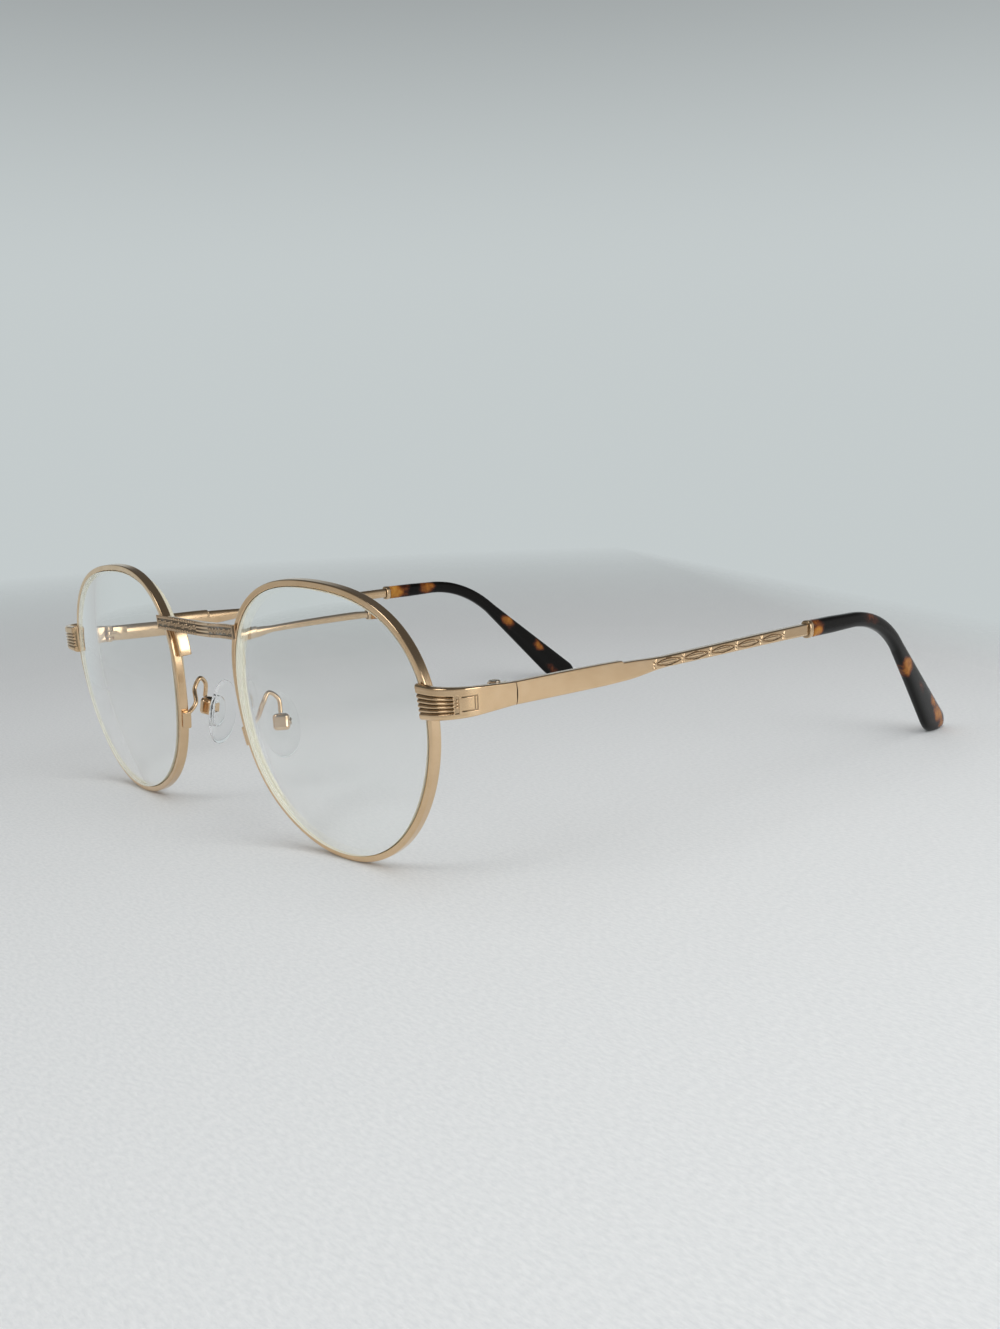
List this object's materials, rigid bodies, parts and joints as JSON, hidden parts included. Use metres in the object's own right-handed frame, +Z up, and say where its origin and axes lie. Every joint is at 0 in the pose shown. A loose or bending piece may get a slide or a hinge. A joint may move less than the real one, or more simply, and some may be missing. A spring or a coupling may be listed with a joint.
{
  "type": "round eyeglasses",
  "caption": "Round metal eyeglasses with a ribbed saddle bridge, fluted endpieces, folding arms with mottled ear tips, and clear nose pads that rock.",
  "frame": {"origin": "on the ground, under the middle of the open glasses' bounding box", "axes": "+X to the wearer's left, +Y back along the arms to the ears, +Z up"},
  "size_m": [0.1344, 0.158, 0.0473],
  "materials": {
    "gold_metal": "satin",
    "screw_steel": "polished",
    "lens_glass": "polished",
    "clear_silicone": "satin",
    "clear_core": "polished",
    "tortoise_acetate": "polished"
  },
  "bodies": {
    "front": {"bridge": "gold_metal", "rim_left": "gold_metal", "rim_right": "gold_metal", "lens_left": "lens_glass", "lens_right": "lens_glass", "bridge_leg_left": "gold_metal", "bridge_leg_right": "gold_metal", "endpiece_left": "gold_metal", "endpiece_right": "gold_metal", "rim_lock_upper_left": "gold_metal", "rim_lock_upper_right": "gold_metal", "rim_lock_lower_left": "gold_metal", "rim_lock_lower_right": "gold_metal", "rim_screw_left": "screw_steel", "rim_screw_right": "screw_steel", "pad_arm_left": "gold_metal", "pad_arm_right": "gold_metal", "pad_box_left": "gold_metal", "pad_box_right": "gold_metal", "pad_screw_left": "screw_steel", "pad_screw_right": "screw_steel", "hinge_front_left": "gold_metal", "hinge_front_right": "gold_metal", "hinge_screw_left": "screw_steel", "hinge_screw_right": "screw_steel"},
    "left_arm": {"hinge_temple_left": "gold_metal", "temple_left": "gold_metal", "ferrule_left": "gold_metal", "temple_tip_left": "tortoise_acetate"},
    "right_arm": {"hinge_temple_right": "gold_metal", "temple_right": "gold_metal", "ferrule_right": "gold_metal", "temple_tip_right": "tortoise_acetate"},
    "left_pad": {"pad_core_left": "clear_core", "nose_pad_left": "clear_silicone"},
    "right_pad": {"pad_core_right": "clear_core", "nose_pad_right": "clear_silicone"}
  },
  "joints": [
    {"name": "left_arm_fold", "type": "hinge", "parent": "front", "child": "left_arm", "pos_m": [0.06445, -0.06452, 0.03019], "axis": [0, 0, 1], "range_deg": [0, 90]},
    {"name": "right_arm_fold", "type": "hinge", "parent": "front", "child": "right_arm", "pos_m": [-0.06445, -0.06452, 0.03019], "axis": [0, 0, -1], "range_deg": [0, 86]},
    {"name": "left_pad_rock", "type": "hinge", "parent": "front", "child": "left_pad", "pos_m": [0.01212, -0.06973, 0.01999], "axis": [0.4695, 0.8829, 0], "range_deg": [-10, 10]},
    {"name": "right_pad_rock", "type": "hinge", "parent": "front", "child": "right_pad", "pos_m": [-0.01212, -0.06973, 0.01999], "axis": [-0.4695, 0.8829, 0], "range_deg": [-10, 10]}
  ]
}
